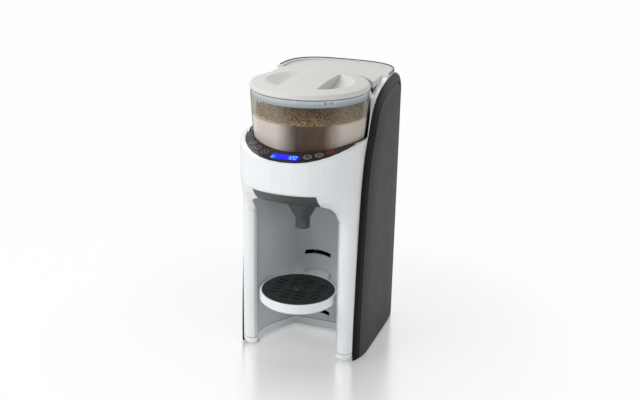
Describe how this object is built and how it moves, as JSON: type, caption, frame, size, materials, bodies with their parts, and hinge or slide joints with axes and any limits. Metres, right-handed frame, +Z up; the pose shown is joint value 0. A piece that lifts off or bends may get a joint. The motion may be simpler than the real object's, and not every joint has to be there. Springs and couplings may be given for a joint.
{
  "type": "baby formula maker",
  "caption": "Upright worktop machine with a bottle bay, drip tray, mixing funnel, clear powder container, rear water tank and a curved control strip.",
  "frame": {"origin": "middle of the whole object's footprint, on the surface it stands on", "axes": "+Z up, -Y towards the user, where the bottle bay and the controls are, +X to the user's right"},
  "size_m": [0.192, 0.283, 0.4006],
  "materials": {
    "white_gloss": "glossy white",
    "white_satin": "satin off-white",
    "graphite": "satin dark grey",
    "black_gloss": "glossy black",
    "funnel_grey": "satin dark grey",
    "black_satin": "satin black",
    "display_blue": "lit display window",
    "clear": "clear",
    "smoke": "smoked clear",
    "band_blue": "semi-gloss blue-grey",
    "powder": "loose powder",
    "rubber": "matt",
    "acetal": "natural",
    "steel": "plain",
    "board_green": "solder resist",
    "grey_plastic": "moulded",
    "silicone": "translucent white"
  },
  "bodies": {
    "housing": {"front_shell": "white_gloss", "bay_liner": "white_gloss", "base_plinth": "white_gloss", "container_seat": "white_gloss", "side_panel_left": "graphite", "side_panel_right": "graphite", "rear_cover": "graphite", "side_trim_left": "black_gloss", "side_trim_right": "black_gloss", "control_panel": "black_gloss", "lcd_display": "display_blue", "cord_gland": "rubber", "rubber_foot_1": "rubber", "rubber_foot_2": "rubber", "rubber_foot_3": "rubber", "rubber_foot_4": "rubber", "gear_motor": "steel", "boiler": "steel", "base_screw_1": "steel", "base_screw_2": "steel", "base_screw_3": "steel", "base_screw_4": "steel", "cover_screw_1": "steel", "cover_screw_2": "steel", "cover_screw_3": "steel", "cover_screw_4": "steel", "main_board": "board_green", "display_board": "board_green", "tank_shelf": "grey_plastic", "motor_deck": "grey_plastic", "tank_socket": "grey_plastic", "water_pump": "grey_plastic", "water_nozzle": "grey_plastic", "inlet_tube": "silicone", "pump_tube": "silicone", "outlet_tube": "silicone"},
    "tank": {"water_tank": "smoke", "tank_hinge_pin": "steel"},
    "tank_cover": {"tank_lid": "white_satin"},
    "valve": {"tank_valve": "silicone", "valve_spring": "steel"},
    "container": {"powder_container": "clear", "formula_powder": "powder"},
    "lid": {"powder_lid": "white_satin", "lid_band": "band_blue", "lid_seal": "silicone"},
    "wheels": {"dosing_wheel": "acetal", "stir_wheel": "acetal"},
    "drive": {"drive_gear": "acetal"},
    "pinion": {"motor_pinion": "acetal"},
    "funnel_body": {"funnel": "funnel_grey"},
    "tray": {"drip_tray": "white_gloss"},
    "grille": {"drip_grille": "black_satin"},
    "key_1": {"button_1": "black_satin"},
    "key_2": {"button_2": "black_satin"},
    "key_3": {"button_3": "black_satin"},
    "key_4": {"button_4": "black_satin"},
    "key_5": {"button_5": "black_satin"},
    "key_6": {"button_6": "black_satin"}
  },
  "joints": [
    {"name": "tank_lift", "type": "slide", "parent": "housing", "child": "tank", "axis": [0, 0, 1], "range_m": [0, 0.21]},
    {"name": "tank_lid_hinge", "type": "hinge", "parent": "tank", "child": "tank_cover", "pos_m": [0, 0.1383, 0.3835], "axis": [-1, 0, 0], "range_deg": [0, 90]},
    {"name": "valve_lift", "type": "slide", "parent": "tank", "child": "valve", "axis": [0, 0, 1], "range_m": [0, 0.003], "stiffness_N_per_m": 120, "springref_m": -0.004, "deforming": ["valve_spring"]},
    {"name": "container_lift", "type": "slide", "parent": "housing", "child": "container", "axis": [0, 0, 1], "range_m": [0, 0.115]},
    {"name": "lid_lift", "type": "slide", "parent": "container", "child": "lid", "axis": [0, 0, 1], "range_m": [0, 0.06]},
    {"name": "wheel_spin", "type": "hinge", "parent": "container", "child": "wheels", "pos_m": [0, -0.0345, 0.306], "axis": [0, 0, 1], "continuous": true},
    {"name": "drive_spin", "type": "hinge", "parent": "housing", "child": "drive", "pos_m": [0, -0.0345, 0.2915], "axis": [0, 0, 1], "continuous": true},
    {"name": "pinion_spin", "type": "hinge", "parent": "housing", "child": "pinion", "pos_m": [-0.02065, -0.00501, 0.2915], "axis": [0, 0, 1], "continuous": true},
    {"name": "funnel_slide", "type": "slide", "parent": "housing", "child": "funnel_body", "axis": [0, -1, 0], "range_m": [0, 0.1]},
    {"name": "tray_slide", "type": "slide", "parent": "housing", "child": "tray", "axis": [0, -1, 0], "range_m": [0, 0.12]},
    {"name": "grille_lift", "type": "slide", "parent": "tray", "child": "grille", "axis": [0, 0, 1], "range_m": [0, 0.03]},
    {"name": "button_1_press", "type": "slide", "parent": "housing", "child": "key_1", "axis": [0, 0, -1], "range_m": [0, 0.0008], "stiffness_N_per_m": 1500, "springref_m": -0.0005},
    {"name": "button_2_press", "type": "slide", "parent": "housing", "child": "key_2", "axis": [0, 0, -1], "range_m": [0, 0.0008], "stiffness_N_per_m": 1500, "springref_m": -0.0005},
    {"name": "button_3_press", "type": "slide", "parent": "housing", "child": "key_3", "axis": [0, 0, -1], "range_m": [0, 0.0008], "stiffness_N_per_m": 1500, "springref_m": -0.0005},
    {"name": "button_4_press", "type": "slide", "parent": "housing", "child": "key_4", "axis": [0, 0, -1], "range_m": [0, 0.0008], "stiffness_N_per_m": 1500, "springref_m": -0.0005},
    {"name": "button_5_press", "type": "slide", "parent": "housing", "child": "key_5", "axis": [0, 0, -1], "range_m": [0, 0.0008], "stiffness_N_per_m": 1500, "springref_m": -0.0005},
    {"name": "button_6_press", "type": "slide", "parent": "housing", "child": "key_6", "axis": [0, 0, -1], "range_m": [0, 0.0008], "stiffness_N_per_m": 1500, "springref_m": -0.0005}
  ],
  "couplings": [
    {"joint": "pinion_spin", "follows": "drive_spin", "ratio": -3},
    {"joint": "wheel_spin", "follows": "drive_spin", "ratio": 1}
  ]
}
